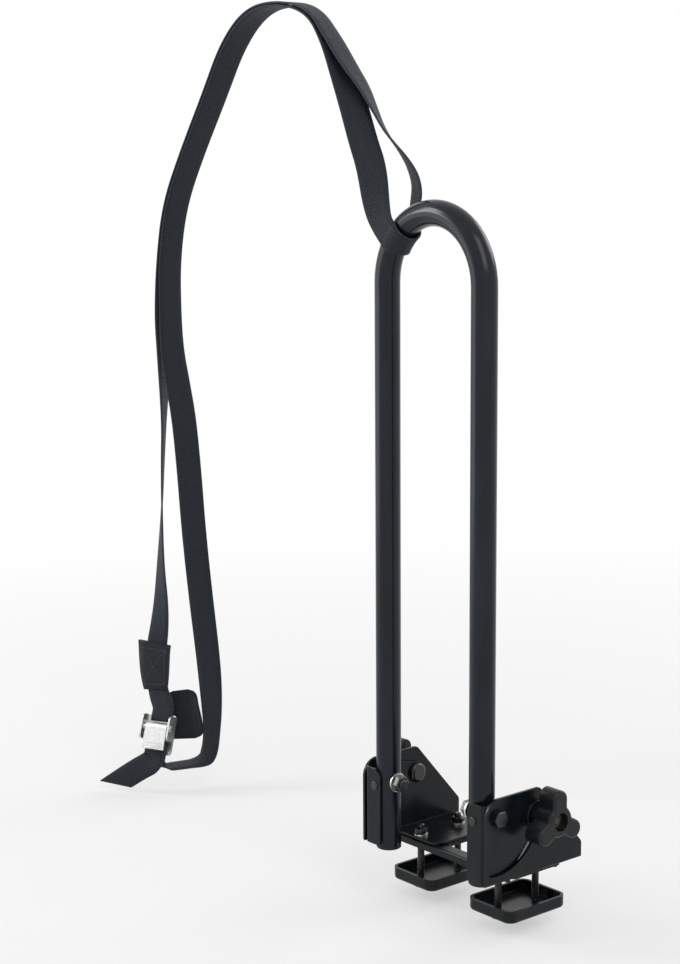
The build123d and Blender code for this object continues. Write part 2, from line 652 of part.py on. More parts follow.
def along_pin(x):
    """Plane across the buckle's pin, x from its middle, with its own x up the buckle."""
    return Plane(PIN + BUCKLE.x_dir * x, x_dir=BUCKLE.y_dir, z_dir=BUCKLE.x_dir)


# Buckle frame: channel with a back plate and two ears for the cam's pin
with BuildPart() as buckle_frame:
    with BuildSketch(BUCKLE):
        RectangleRounded(BUCKLE_W, BUCKLE_L, BUCKLE_CORNER_R)
    extrude(amount=BUCKLE_WALL)
    for ear_x in (-BUCKLE_W / 2, BUCKLE_W / 2 - BUCKLE_WALL):
        with BuildSketch(along_pin(ear_x)):
            with BuildLine():
                FilletPolyline(
                    (-EAR_L / 2, -CAM_PIN_Z),
                    (-EAR_L / 2, EAR_OVER),
                    (EAR_L / 2, EAR_OVER),
                    (EAR_L / 2, -CAM_PIN_Z),
                    radius=EAR_CORNER_R,
                )
                Line((EAR_L / 2, -CAM_PIN_Z), (-EAR_L / 2, -CAM_PIN_Z))
            make_face()
            Circle(CAM_PIN_D / 2 + RUN_FIT, mode=Mode.SUBTRACT)
        extrude(amount=BUCKLE_WALL)
save(buckle_frame.part, "buckle_frame")

# Pin that the cam turns on, headed at both ends
PIN_HALF = BUCKLE_W / 2 + SEAT_FIT
with BuildPart() as buckle_pin:
    with BuildSketch(along_pin(-PIN_HALF)):
        Circle(CAM_PIN_D / 2)
    extrude(amount=2 * PIN_HALF)
    for head_x in (-PIN_HALF - PIN_HEAD_H, PIN_HALF):
        with BuildSketch(along_pin(head_x)):
            Circle(PIN_HEAD_D / 2)
        extrude(amount=PIN_HEAD_H)
save(buckle_pin.part, "buckle_pin")

# Cam: toothed drum on the pin with a thumb lever over the face of the buckle
CAM_LOW_X = -BUCKLE_W / 2 + BUCKLE_WALL + CAM_SIDE_FIT + SPRING_W
CAM_HIGH_X = BUCKLE_W / 2 - BUCKLE_WALL - CAM_SIDE_FIT
with BuildPart() as buckle_cam:
    with BuildSketch(along_pin(CAM_LOW_X)):
        Circle(CAM_R)
        with Locations((-LEVER_L / 2, CAM_R - LEVER_T / 2)):
            Rectangle(LEVER_L, LEVER_T)
        with PolarLocations(CAM_R, CAM_TEETH, start_angle=200, angular_range=100):
            Circle(CAM_TOOTH_R)
        Circle(CAM_PIN_D / 2 + RUN_FIT, mode=Mode.SUBTRACT)
    extrude(amount=CAM_HIGH_X - CAM_LOW_X)
save(buckle_cam.part, "buckle_cam")

# Torsion spring beside the cam, drawn as its outer shape
with BuildPart() as buckle_spring:
    with BuildSketch(along_pin(CAM_LOW_X - CAM_SIDE_FIT / 2 - SPRING_W)):
        Circle(CAM_PIN_D / 2 + RUN_FIT + SPRING_WIRE)
        Circle(CAM_PIN_D / 2 + RUN_FIT, mode=Mode.SUBTRACT)
    extrude(amount=SPRING_W)
save(buckle_spring.part, "buckle_spring")

# Pad behind the buckle that keeps it off the bar
with BuildPart() as buckle_pad:
    with BuildSketch(BUCKLE.offset(-PAD_T - PAD_FIT)):
        with Locations(PAD_AT):
            RectangleRounded(PAD_W, PAD_L, PAD_CORNER_R)
    extrude(amount=PAD_T)
save(buckle_pad.part, "buckle_pad")
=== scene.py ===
"""Dresses the folding upright kayak carrier: strap, fine hardware, materials, camera and studio."""

import json
from itertools import combinations
from math import cos, pi, radians, sin, sqrt

import bpy
from mathutils import Matrix, Vector


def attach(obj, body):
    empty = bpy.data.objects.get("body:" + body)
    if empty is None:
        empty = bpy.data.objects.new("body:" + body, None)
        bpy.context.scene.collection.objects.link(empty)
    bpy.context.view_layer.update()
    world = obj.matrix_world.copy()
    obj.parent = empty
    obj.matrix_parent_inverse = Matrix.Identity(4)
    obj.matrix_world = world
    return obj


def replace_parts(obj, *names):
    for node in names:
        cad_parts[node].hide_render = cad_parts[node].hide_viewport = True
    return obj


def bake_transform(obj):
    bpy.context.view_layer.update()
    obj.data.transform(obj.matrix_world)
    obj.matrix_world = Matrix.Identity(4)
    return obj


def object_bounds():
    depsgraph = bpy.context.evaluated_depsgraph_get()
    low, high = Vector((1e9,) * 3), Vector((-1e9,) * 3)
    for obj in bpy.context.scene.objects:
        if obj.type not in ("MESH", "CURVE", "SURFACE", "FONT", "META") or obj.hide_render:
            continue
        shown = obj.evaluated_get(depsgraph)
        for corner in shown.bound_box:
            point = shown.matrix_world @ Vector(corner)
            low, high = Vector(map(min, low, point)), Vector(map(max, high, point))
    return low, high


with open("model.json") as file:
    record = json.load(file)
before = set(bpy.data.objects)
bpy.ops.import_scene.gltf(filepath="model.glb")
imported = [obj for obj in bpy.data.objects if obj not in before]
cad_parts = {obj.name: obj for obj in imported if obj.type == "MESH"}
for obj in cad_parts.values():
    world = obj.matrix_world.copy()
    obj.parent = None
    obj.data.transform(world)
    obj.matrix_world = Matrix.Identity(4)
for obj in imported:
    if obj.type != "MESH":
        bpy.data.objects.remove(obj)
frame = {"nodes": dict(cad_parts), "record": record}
CAD_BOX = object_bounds()
MM = 0.001

# Camera, fitted to the photograph. Its place is in metres and its angles are in degrees.
IMAGE_LONG_SIDE = 964
FOCAL_PIXELS = 1933.9
SENSOR = 36.0
CAMERA_AT = (1.17289, -1.13332, 0.59522)
CAMERA_AZIMUTH = -50.158
CAMERA_ELEVATION = 9.324
CAMERA_ROLL = -0.388

# Sizes that the solids also have, in millimetres and degrees
LEG_X = 58.75
TUBE_R = 11.0
TUBE_Y = -52.0
BEND_Z = 497.0
BOLT_X = 49.0
BOLT_Y = 22.5
BOLT_R = 3.0
WEB_W = 25.0
WEB_T = 1.8
WRAP_MID_R = 12.2
BUCKLE_AT = (-450.0, -26.5, 8.0)
BUCKLE_TILT = 22.0
BUCKLE_TURN = 25.0
BUCKLE_END = 21.1
LEVER_Z = 15.4

# Rounding of a flat piece's edges, as a share of half its thickness, up to so many millimetres of that
FLAT_ROUNDING = 0.6
FLAT_ROUNDING_MOST = 1.5

# The strap's turn round the bend. It is 6 degrees further down the bend than in the solids.
WRAP_ANGLE = 137.0
WRAP_REACH = 100.0  # degrees that it covers to each side of the bend's inner face
WRAP_STEPS = 28
WRAP_GAP = 0.4  # room between tube and webbing, apart from the slack
WRAP_SLACK = 0.8  # half of the slack on the bend's inner face
WRAP_END = 2.1  # where the strands leave it, outside the middle of the tube
STRAND_LEAD = 8.0  # straight run of a strand by the bend and by the buckle

# Sewn sleeve round the strap, in millimetres
SLEEVE_W = 36.0
SLEEVE_FLARE = 4.0
SLEEVE_DRAW_IN = 7.0
SLEEVE_T = 4.4
SLEEVE_SWELL = 1.6

# Pad behind the buckle, in millimetres
PAD_W = 36.0
PAD_WIDENS = 10.0
PAD_L = 62.0  # length that the shape of its corners and edges is reckoned on
PAD_CORNER_R = 9.0
PAD_EDGE_T = 1.6
PAD_SWELL = 1.4
PAD_BINDING = 5.0

# Stitches: rows end at shares of the length and of the width from the middle
STITCH_R = 0.32
STITCH_DASH = (0.18, 0.82)  # share of each step that the thread shows in
BOX_ENDS = (0.12, 0.88)
BOX_SIDES = (-0.4, 0.4)
BOX_STITCHES = 11
HEM_ENDS = (0.14, 0.86)
HEM_SIDES = (-0.42, 0.42)
HEM_STITCHES = 18

# Threads of the clamp bolts and ribs on the buckle's lever, in millimetres
THREAD_RUNS = [(-36, -1), (13, 16)]
THREAD_PITCH = 1.0
THREAD_SIDES = 16
THREAD_SUNK = 0.1
THREAD_PROUD = 0.22
THREAD_HALF = 0.46  # half of the ridge's width, in pitches
RIB_Y = (-15.5, -13, -10.5)
RIB_X = (-9, 13)
RIB_R = 0.7

# Eased rods, as shares of length and radius
ROD_RINGS = [(0.0, 0.45), (0.12, 1.0), (0.88, 1.0), (1.0, 0.45)]
ROD_SIDES = 8

# Materials
NOISE_RANGE = (0.3, 0.7)  # where nearly all values of a noise lie
EDGE_COSINES = (0.8, 0.99)  # between a sharp edge's own normal and its rounded one
WORN_GAIN = 3.0
WORN_LIFT = 0.02
EDGE_POLISH = 0.08
EDGE_DULLING = 0.1
YARNS_PER_RIB = 2.5
SELVAGE = (0.896, 0.976)  # share of the webbing's half width

# Studio, in metres and watts
FLOOR_HALF = 6.0
FLOOR_DROP = 0.002
FLOOR_FADE = (0.5, 1.7)  # distance over which the floor runs out into white
FLOOR_WHITE = (0.5, 1.0)  # share of white where that begins and ends
WORLD_LIGHT = 0.5
WORLD_SEEN = 1.0
LAMPS = [
    # name, place, place it faces, width and height, watts
    ("key", (1.6, -0.6, 1.9), (-0.1, 0, 0.35), (1.2, 1.6), 16),
    ("side", (-1.5, -1.4, 1.3), (-0.05, -0.05, 0.5), (0.5, 1.0), 14),
    ("wall", (-1.35, -1.2, 0.45), (0, -0.05, 0.35), (1.0, 1.2), 5),
    ("rim", (0.2, 2.0, 1.5), (-0.1, 0, 0.35), (1.6, 1.0), 14),
]


def add_camera():
    """Camera that sees the carrier as the photograph does."""
    angles = CAMERA_AZIMUTH, CAMERA_ELEVATION, CAMERA_ROLL
    azimuth, elevation, roll = (radians(angle) for angle in angles)
    forward = Vector((sin(azimuth) * cos(elevation), cos(azimuth) * cos(elevation), -sin(elevation)))
    level = Vector((cos(azimuth), -sin(azimuth), 0))
    up = level.cross(forward)
    right = level * cos(roll) + up * sin(roll)
    up = up * cos(roll) - level * sin(roll)
    data = bpy.data.cameras.new("camera")
    data.sensor_width = SENSOR
    data.lens = SENSOR * FOCAL_PIXELS / IMAGE_LONG_SIDE
    camera = bpy.data.objects.new("camera", data)
    turn = Matrix((right, up, -forward)).transposed().to_4x4()
    camera.matrix_world = Matrix.Translation(CAMERA_AT) @ turn
    bpy.context.scene.collection.objects.link(camera)
    bpy.context.scene.camera = camera


class Shader:
    """A Principled material with short calls for the nodes that feed it."""

    def __init__(self, name):
        self.material = bpy.data.materials.new(name)
        self.material.use_nodes = True
        self.nodes = self.material.node_tree.nodes
        self.links = self.material.node_tree.links
        self.bsdf = self.nodes["Principled BSDF"]
        self.place = self.nodes.new("ShaderNodeTexCoord")

    def feed(self, socket, value):
        """Links another socket to this one, or sets it to a plain value."""
        if isinstance(value, bpy.types.NodeSocket):
            self.links.new(value, socket)
        else:
            socket.default_value = value

    def set(self, **values):
        """Feeds inputs of the Principled node, with underscores for the spaces in their names."""
        for name, value in values.items():
            self.feed(self.bsdf.inputs[name.replace("_", " ")], value)

    def noise(self, scale, detail=4.0, stretch=(1, 1, 1)):
        spread = self.nodes.new("ShaderNodeMapping")
        spread.inputs["Scale"].default_value = stretch
        self.links.new(self.place.outputs["Object"], spread.inputs["Vector"])
        node = self.nodes.new("ShaderNodeTexNoise")
        self.links.new(spread.outputs["Vector"], node.inputs["Vector"])
        node.inputs["Scale"].default_value = scale
        node.inputs["Detail"].default_value = detail
        return node.outputs["Fac"]

    def cells(self, scale):
        node = self.nodes.new("ShaderNodeTexVoronoi")
        self.links.new(self.place.outputs["Object"], node.inputs["Vector"])
        node.inputs["Scale"].default_value = scale
        return node.outputs["Color"]

    def span(self, value, to, within=(0, 1)):
        """A value within one range brought to another, and held there."""
        node = self.nodes.new("ShaderNodeMapRange")
        self.feed(node.inputs["Value"], value)
        for kind, ends in (("From", within), ("To", to)):
            for end, number in zip(("Min", "Max"), ends):
                node.inputs[f"{kind} {end}"].default_value = number
        return node.outputs["Result"]

    def math(self, operation, first, second=0.0):
        node = self.nodes.new("ShaderNodeMath")
        node.operation = operation
        self.feed(node.inputs[0], first)
        self.feed(node.inputs[1], second)
        return node.outputs[0]

    def wave(self, value, period):
        """A sine wave between zero and one."""
        turns = self.math("MULTIPLY", value, 2 * pi / period)
        return self.span(self.math("SINE", turns), to=(0, 1), within=(-1, 1))

    def tint(self, factor, low, high):
        node = self.nodes.new("ShaderNodeMix")
        node.data_type = "RGBA"
        self.feed(node.inputs["Factor"], factor)
        for socket, colour in (("A", low), ("B", high)):
            self.feed(node.inputs[socket], (*colour, 1) if isinstance(colour, tuple) else colour)
        return node.outputs["Result"]

    def rounded(self, radius):
        """Normal of the surface with its edges rounded off."""
        node = self.nodes.new("ShaderNodeBevel")
        node.samples = 4
        node.inputs["Radius"].default_value = radius
        return node.outputs["Normal"]

    def edges(self, rounded):
        """One along sharp edges, falling to zero on the flats."""
        surface = self.nodes.new("ShaderNodeNewGeometry")
        node = self.nodes.new("ShaderNodeVectorMath")
        node.operation = "DOT_PRODUCT"
        self.links.new(surface.outputs["Normal"], node.inputs[0])
        self.links.new(rounded, node.inputs[1])
        return self.span(node.outputs["Value"], to=(1, 0), within=EDGE_COSINES)

    def bump(self, height, strength, distance, normal=None):
        node = self.nodes.new("ShaderNodeBump")
        node.inputs["Strength"].default_value = strength
        node.inputs["Distance"].default_value = distance
        self.links.new(height, node.inputs["Height"])
        if normal:
            self.links.new(normal, node.inputs["Normal"])
        self.links.new(node.outputs["Normal"], self.bsdf.inputs["Normal"])


def paint(name, dark, light, rough, peel, specular):
    """Powder coat: slight orange peel, uneven gloss, faint handling marks and rubbed edges."""
    shader = Shader(name)
    rounded = shader.rounded(radius=0.0007)
    smears = shader.noise(scale=60, detail=8, stretch=(1, 1, 0.25))
    marks = shader.span(smears, to=(0, 1), within=(0.45, 0.8))
    patches = shader.span(shader.noise(scale=170, detail=6), to=(0, 0.8), within=(0.42, 0.65))
    rubbed = shader.math("MULTIPLY", shader.edges(rounded), patches)
    worn = tuple(WORN_GAIN * part + WORN_LIFT for part in light)
    shader.set(
        Base_Color=shader.tint(rubbed, shader.tint(marks, dark, light), worn),
        Roughness=shader.span(shader.noise(scale=35), to=rough, within=NOISE_RANGE),
        Specular_IOR_Level=specular,
    )
    shader.bump(shader.noise(scale=peel, detail=2), strength=0.12, distance=0.0004, normal=rounded)
    return shader.material


def moulding(name, dark, light, rough):
    """Moulded plastic with a fine spark-eroded grain and edges polished by handling."""
    shader = Shader(name)
    rounded = shader.rounded(radius=0.0005)
    grain = shader.span(shader.noise(scale=160), to=rough, within=NOISE_RANGE)
    polish = shader.math("MULTIPLY", shader.edges(rounded), EDGE_POLISH)
    shader.set(
        Base_Color=shader.tint(shader.noise(scale=90), dark, light),
        Roughness=shader.math("SUBTRACT", grain, polish),
        Specular_IOR_Level=0.28,
    )
    shader.bump(shader.noise(scale=1800, detail=3), strength=0.2, distance=0.0003, normal=rounded)
    return shader.material


def plated(name, dark, light, rough):
    """Bare or plated metal: crystal flecks, fine drawn lines and duller edges."""
    shader = Shader(name)
    rounded = shader.rounded(radius=0.0004)
    drawn = shader.noise(scale=900, stretch=(0.06, 1, 1))
    fleck = shader.math("MULTIPLY", shader.math("ADD", shader.cells(scale=420), drawn), 0.5)
    dull = shader.math("MULTIPLY", shader.edges(rounded), EDGE_DULLING)
    shader.set(
        Base_Color=shader.tint(fleck, dark, light),
        Metallic=1.0,
        Roughness=shader.math("ADD", shader.span(drawn, to=rough, within=NOISE_RANGE), dull),
    )
    shader.bump(drawn, strength=0.08, distance=0.0002, normal=rounded)
    return shader.material


def woven(name, dark, light, rib, sheen):
    """Webbing: chevron ribs across the width, yarn along them, a paler selvage.

    Its map gives metres across the webbing from the middle, and metres along it.
    """
    shader = Shader(name)
    split = shader.nodes.new("ShaderNodeSeparateXYZ")
    shader.links.new(shader.place.outputs["UV"], split.inputs["Vector"])
    across, along = split.outputs["X"], split.outputs["Y"]
    half_width = WEB_W * MM / 2
    side = shader.math("ABSOLUTE", across)
    chevron = shader.math("ADD", along, shader.math("PINGPONG", side, half_width / 2))
    yarn = shader.span(shader.wave(across, rib / YARNS_PER_RIB), to=(0.5, 1))
    cloth = shader.math("MULTIPLY", shader.wave(chevron, rib), yarn)
    fuzz = shader.noise(scale=700, detail=5)
    faded = shader.math("MULTIPLY", cloth, shader.span(fuzz, to=(0.35, 1.0), within=NOISE_RANGE))
    selvage = shader.span(side, to=(0, 0.3), within=[share * half_width for share in SELVAGE])
    shader.set(
        Base_Color=shader.tint(shader.math("ADD", faded, selvage), dark, light),
        Roughness=shader.span(fuzz, to=(0.6, 0.85), within=NOISE_RANGE),
        Sheen_Weight=sheen,
        Sheen_Roughness=0.4,
        Specular_IOR_Level=0.3,
    )
    shader.bump(cloth, strength=0.6, distance=0.0006)
    return shader.material


def twisted(name, dark, light):
    """Sewing thread with a fine, uneven twist."""
    shader = Shader(name)
    twist = shader.noise(scale=2500, detail=3)
    shader.set(
        Base_Color=shader.tint(twist, dark, light),
        Roughness=shader.span(twist, to=(0.5, 0.75), within=NOISE_RANGE),
    )
    shader.bump(twist, strength=0.4, distance=0.0002)
    return shader.material


# What makes each material, its dark and light colours, and what else its maker asks for
LOOKS = {
    "tube_paint": (
        paint, (0.003, 0.0062, 0.0105), (0.009, 0.0165, 0.0255),
        {"rough": (0.15, 0.22), "peel": 700, "specular": 0.28},
    ),
    "bracket_paint": (
        paint, (0.003, 0.0045, 0.0062), (0.008, 0.011, 0.0145),
        {"rough": (0.18, 0.3), "peel": 1100, "specular": 0.22},
    ),
    "black_fastener": (
        paint, (0.006, 0.0065, 0.0075), (0.016, 0.017, 0.019),
        {"rough": (0.16, 0.28), "peel": 900, "specular": 0.55},
    ),
    "zinc_fastener": (plated, (0.46, 0.46, 0.45), (0.78, 0.78, 0.76), {"rough": (0.22, 0.38)}),
    "nylon": (moulding, (0.006, 0.0065, 0.007), (0.016, 0.017, 0.018), {"rough": (0.34, 0.48)}),
    "cap_plastic": (moulding, (0.008, 0.008, 0.008), (0.018, 0.018, 0.018), {"rough": (0.4, 0.56)}),
    "knob_plastic": (moulding, (0.004, 0.0045, 0.0055), (0.01, 0.011, 0.013), {"rough": (0.26, 0.38)}),
    # The brass insert is darkened well below bare brass. This is painted shade for the dark hole in the
    # knob's hub.
    "insert_brass": (plated, (0.16, 0.11, 0.04), (0.34, 0.25, 0.11), {"rough": (0.3, 0.45)}),
    "webbing": (woven, (0.002, 0.0035, 0.0055), (0.042, 0.058, 0.079), {"rib": 0.0027, "sheen": 0.07}),
    "pad_fabric": (woven, (0.003, 0.0038, 0.005), (0.026, 0.031, 0.04), {"rib": 0.0018, "sheen": 0.06}),
    "buckle_metal": (plated, (0.52, 0.53, 0.54), (0.76, 0.76, 0.75), {"rough": (0.3, 0.44)}),
    "spring_steel": (plated, (0.3, 0.3, 0.3), (0.55, 0.55, 0.55), {"rough": (0.25, 0.4)}),
    "thread": (twisted, (0.02, 0.022, 0.026), (0.09, 0.095, 0.105), {}),
}
MATERIALS = {name: make(name, dark, light, **rest) for name, (make, dark, light, rest) in LOOKS.items()}


def new_piece(name, shape, slot, body=None, material=None):
    """Adds one smooth-shaded piece, and lets it ride on a body.

    A shape is a list of vertices in millimetres, one of faces, and one of map pairs in metres.
    """
    vertices, faces, coords = shape
    mesh = bpy.data.meshes.new(name)
    mesh.from_pydata([Vector(v) * MM for v in vertices], [], faces)
    layer = mesh.uv_layers.new(name="weave")
    for loop in mesh.loops:
        layer.data[loop.index].uv = coords[loop.vertex_index]
    mesh.shade_smooth()
    mesh.materials.append(MATERIALS[material or slot])
    piece = bpy.data.objects.new(name, mesh)
    bpy.context.scene.collection.objects.link(piece)
    if body:
        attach(piece, body)
    return piece


def joined(shapes):
    """Several shapes as one."""
    vertices, faces, coords = [], [], []
    for shape in shapes:
        first = len(vertices)
        vertices += shape[0]
        faces += [tuple(first + index for index in face) for face in shape[1]]
        coords += shape[2]
    return vertices, faces, coords


def ring_faces(rings, count, flip=False):
    """Faces that make a closed tube of rings with so many vertices each. A flip turns them over."""
    last = (rings - 1) * count
    first_end = tuple(range(count))
    far_end = tuple(last + k for k in first_end)
    ends = [first_end[::-1], far_end] if flip else [first_end, far_end[::-1]]
    sides = []
    for near in range(0, last, count):
        far = near + count
        for k in range(count):
            after = (k + 1) % count
            side = (far + k, far + after, near + after)
            sides.append((near + k, *(side[::-1] if flip else side)))
    return ends + sides


def spline_points(places):
    """Points along the smooth line that a list of places steers, in millimetres."""
    curve = bpy.data.curves.new("route", "CURVE")
    curve.dimensions = "3D"
    spline = curve.splines.new("NURBS")
    spline.points.add(len(places) - 1)
    for point, place in zip(spline.points, places):
        point.co = (*place, 1)
    spline.order_u = 3
    spline.use_endpoint_u = True
    spline.resolution_u = 10
    holder = bpy.data.objects.new("route", curve)
    mesh = bpy.data.meshes.new_from_object(holder)
    line = [vertex.co.copy() for vertex in mesh.vertices]
    bpy.data.objects.remove(holder)
    bpy.data.curves.remove(curve)
    bpy.data.meshes.remove(mesh)
    return line


def flat_section(width, thickness):
    """Outline of flat webbing with rounded edges, as (across, out) pairs."""
    half, lift = width / 2, thickness / 2
    edge = min(lift, FLAT_ROUNDING_MOST) * FLAT_ROUNDING
    flat = [-half + edge, -half / 2, 0, half / 2, half - edge]
    upper = [(across, lift) for across in flat]
    lower = [(across, -lift) for across in reversed(flat)]
    return [(-half, 0), *upper, (half, 0), *lower]


def round_section(radius):
    """Outline of a rod, as (across, out) pairs."""
    turns = [2 * pi * k / ROD_SIDES for k in range(ROD_SIDES)]
    return [(radius * cos(turn), -radius * sin(turn)) for turn in turns]


def sweep(line, ways, outlines, slant=0.0):
    """Outlines carried along a line, their width along the given ways.

    A slant cuts the far end aslope.
    """
    vertices, coords, run = [], [], 0.0
    last = len(line) - 1
    for index, place in enumerate(line):
        along = (line[min(index + 1, last)] - line[max(index - 1, 0)]).normalized()
        wide = (ways[index] - along * ways[index].dot(along)).normalized()
        out = along.cross(wide)
        run += (place - line[index - 1]).length if index else 0.0
        shear = slant * max(0.0, 2 * index / last - 1)
        for across, lift in outlines[index]:
            vertices.append(place + wide * across + out * lift + along * across * shear)
            coords.append((across * MM, (run + across * shear) * MM))
    return vertices, ring_faces(len(line), len(outlines[0])), coords


def rod(start, end, radius):
    """A short round bar with eased ends."""
    line = [start.lerp(end, part) for part, _ in ROD_RINGS]
    ways = [(end - start).orthogonal()] * len(line)
    return sweep(line, ways, [round_section(radius * share) for _, share in ROD_RINGS])


def width_way(turn, rise):
    """Direction at so many degrees round from x, and up from level."""
    turn, rise = radians(turn), radians(rise)
    return Vector((cos(rise) * cos(turn), cos(rise) * sin(turn), sin(rise)))


def web_size(_part):
    """Plain webbing has the same width and thickness all along."""
    return WEB_W, WEB_T


def sleeve_size(part):
    """The sleeve flares at its top, is fullest in its middle and draws in towards the buckle."""
    width = SLEEVE_W + SLEEVE_FLARE * (1 - part) ** 4 - SLEEVE_DRAW_IN * part ** 3
    return width, SLEEVE_T + SLEEVE_SWELL * sin(pi * part)


def pad_size(part):
    """The pad widens downwards, and has round corners and thin bound edges."""
    near_end = min(part, 1 - part) * PAD_L
    short = PAD_CORNER_R - min(near_end, PAD_CORNER_R)
    corner = PAD_CORNER_R - sqrt(PAD_CORNER_R ** 2 - short ** 2)
    width = PAD_W + PAD_WIDENS * part - 2 * corner
    return width, PAD_EDGE_T + PAD_SWELL * min(1, near_end / PAD_BINDING)


class Band:
    """A band of webbing along (x, y, z, turn, rise) stations.

    Turn and rise say where its width points. Size gives its width and thickness part of the way along.
    """

    def __init__(self, name, route, slot, size=web_size, slant=0.0):
        centre = [Vector(station[:3]) for station in route]
        edge = [place + width_way(*station[3:]) * WEB_W / 2 for place, station in zip(centre, route)]
        self.line = spline_points(centre)
        self.ways = [(side - place).normalized() for side, place in zip(spline_points(edge), self.line)]
        self.size = size
        last = len(self.line) - 1
        outlines = [flat_section(*size(index / last)) for index in range(last + 1)]
        self.piece = new_piece(name, sweep(self.line, self.ways, outlines, slant), slot)
        self.length = sum((b - a).length for a, b in zip(self.line, self.line[1:]))

    def spot(self, part, across, face):
        """Point on the band's face (1 or -1), part of the way along and a share of its width across."""
        last = len(self.line) - 1
        index = min(int(part * last), last - 1)
        rest = part * last - index
        along = (self.line[index + 1] - self.line[index]).normalized()
        wide = self.ways[index].lerp(self.ways[index + 1], rest)
        wide = (wide - along * wide.dot(along)).normalized()
        width, thickness = self.size(part)
        place = self.line[index].lerp(self.line[index + 1], rest)
        return place + wide * across * width + along.cross(wide) * face * thickness / 2

    def stitches(self, rows, count):
        """Dashes of thread along rows of ((part, across), (part, across)) on both faces."""
        dashes = []
        for face in (1, -1):
            for (part_a, across_a), (part_b, across_b) in rows:
                for step in range(count):
                    ends = []
                    for at in ((step + share) / count for share in STITCH_DASH):
                        part = part_a + (part_b - part_a) * at
                        ends.append(self.spot(part, across_a + (across_b - across_a) * at, face))
                    dashes.append(rod(*ends, STITCH_R))
        return joined(dashes)


def off_wrap(lead, y):
    """Point where a strand has left the end of its turn round the bend by the given lead."""
    reach = LEG_X + WRAP_END + lead
    return reach * cos(radians(WRAP_ANGLE)), TUBE_Y + y, BEND_Z + reach * sin(radians(WRAP_ANGLE))


TILT = radians(BUCKLE_TILT)
TURN = radians(BUCKLE_TURN)
BUCKLE_X = Vector((cos(TURN), sin(TURN), 0))
BUCKLE_Y = Vector((-sin(TURN) * sin(TILT), cos(TURN) * sin(TILT), cos(TILT)))
BUCKLE_Z = BUCKLE_X.cross(BUCKLE_Y)


def on_buckle(y, z, x=0.0):
    """Point on the buckle: up its length, out of its face and across it."""
    return Vector(BUCKLE_AT) + BUCKLE_X * x + BUCKLE_Y * y + BUCKLE_Z * z


def beside_buckle(y, z, x, turn, width):
    """Station of the pad, from where its left edge lies behind the buckle."""
    return *(on_buckle(y, z, x) + width_way(turn, 0) * width / 2), turn, 0


# Stations of the bands, in millimetres and degrees
BACK_ROUTE = [
    (*off_wrap(0, WRAP_MID_R), 0, WRAP_ANGLE - 90),
    (*off_wrap(STRAND_LEAD, WRAP_MID_R), 0, WRAP_ANGLE - 90),
    (-39, -37, 562, -14, 36),
    (-40, -35.5, 579, -28, 20),
    (-51, -35, 595, -37, 8),
    (-66, -35.5, 610, -41, 0),
    (-81, -36, 624, -45, 0),
    (-91, -38, 641, -53, 0),
    (-101, -41, 660, -64, 0),
    (-117, -44, 679, -74, 0),
    (-138, -43.5, 702.5, -78, 0),
    (-166.5, -40, 728.5, -68, 0),
    (-209, -37, 739, -90, 0),
    (-258, -34, 735.5, -101, 0),
    (-301, -30, 708, -103, 0),
    (-340, -24.5, 661, -102, 0),
    (-382, -20.5, 610, -102, 0),
    (-419, -17.5, 558, -101, 0),
    (-435, -15.5, 502, -98, 0),
    (-443, -14.5, 449, -91, 0),
    (-447, -13, 409, -70, 0),
    (-450, -13, 340, -44, 0),
    (-454, -13, 297, -41, 0),
    (-456, -14, 244, -35, 0),
    (-459, -15, 186, -20, 0),
    (-458, -16, 146, 0, 0),
    (-461, -17, 118, 14, 0),
    (-466, -18, 96, 22, 0),
    (-465, -19, 52, 22, 0),
    (*on_buckle(BUCKLE_END + STRAND_LEAD, 2.2), BUCKLE_TURN, 0),
    (*on_buckle(BUCKLE_END, 3.0), BUCKLE_TURN, 0),
    (*on_buckle(13, 3.0), BUCKLE_TURN, 0),
]
FRONT_ROUTE = [
    (*off_wrap(0, -WRAP_MID_R), 0, WRAP_ANGLE - 90),
    (*off_wrap(STRAND_LEAD, -WRAP_MID_R), 0, WRAP_ANGLE - 90),
    (-59, -63.5, 559, 25, 30),
    (-69, -60, 592, 45, 8),
    (-85, -56, 615, 50, 0),
    (-101, -51.5, 642, 53, 0),
    (-119, -47.5, 670, 66, 0),
    (-140, -44, 698, 98, 0),
    (-168, -40, 725, 112, 0),
    (-209, -37, 736.4, 92, 0),
    (-256.5, -34, 733, 79, 0),
    (-298.5, -30, 705.6, 77, 0),
    (-337, -24.5, 659, 78, 0),
    (-379, -20.5, 608, 78, 0),
    (-415.5, -17.5, 556, 79, 0),
    (-431, -15.5, 501, 82, 0),
    (-436.5, -12, 449, 82, 0),
    (-436.5, -11, 411, 72, 0),
    (-430, -9, 377, 64, 0),
    (-423, -7, 340, 60, 0),
    (-420, -4, 284, 57, 0),
    (-419, -1.5, 237, 55, 0),
    (-417, 1, 195, 52, 0),
    (-414, 4, 149, 50, 0),
    (-412, 7.5, 109, 47, 0),
    (-412, 11, 76, 41, 0),
    (-415, 15, 42, 26, 0),
    (-420, 18.5, 13, 8, 0),
    (-424, 18.5, -14, 4, 0),
    (-428, 12, -25, 4, 0),
    (-438, -14, -26, 12, 0),
    (-443, -30, -26, 20, 0),
    (*on_buckle(-BUCKLE_END - STRAND_LEAD, 2.0), BUCKLE_TURN, 0),
    (*on_buckle(-BUCKLE_END, 3.0), BUCKLE_TURN, 0),
    (*on_buckle(-11, 3.0), BUCKLE_TURN, 0),
]
TAIL_ROUTE = [
    (*on_buckle(-8, 4.9), BUCKLE_TURN, 0),
    (*on_buckle(-BUCKLE_END, 4.9), BUCKLE_TURN, 0),
    (*on_buckle(-BUCKLE_END - STRAND_LEAD, 5.2), BUCKLE_TURN, 0),
    (-462, -51, -30, 38, -26),
    (-481, -63, -46, 46, -44),
]
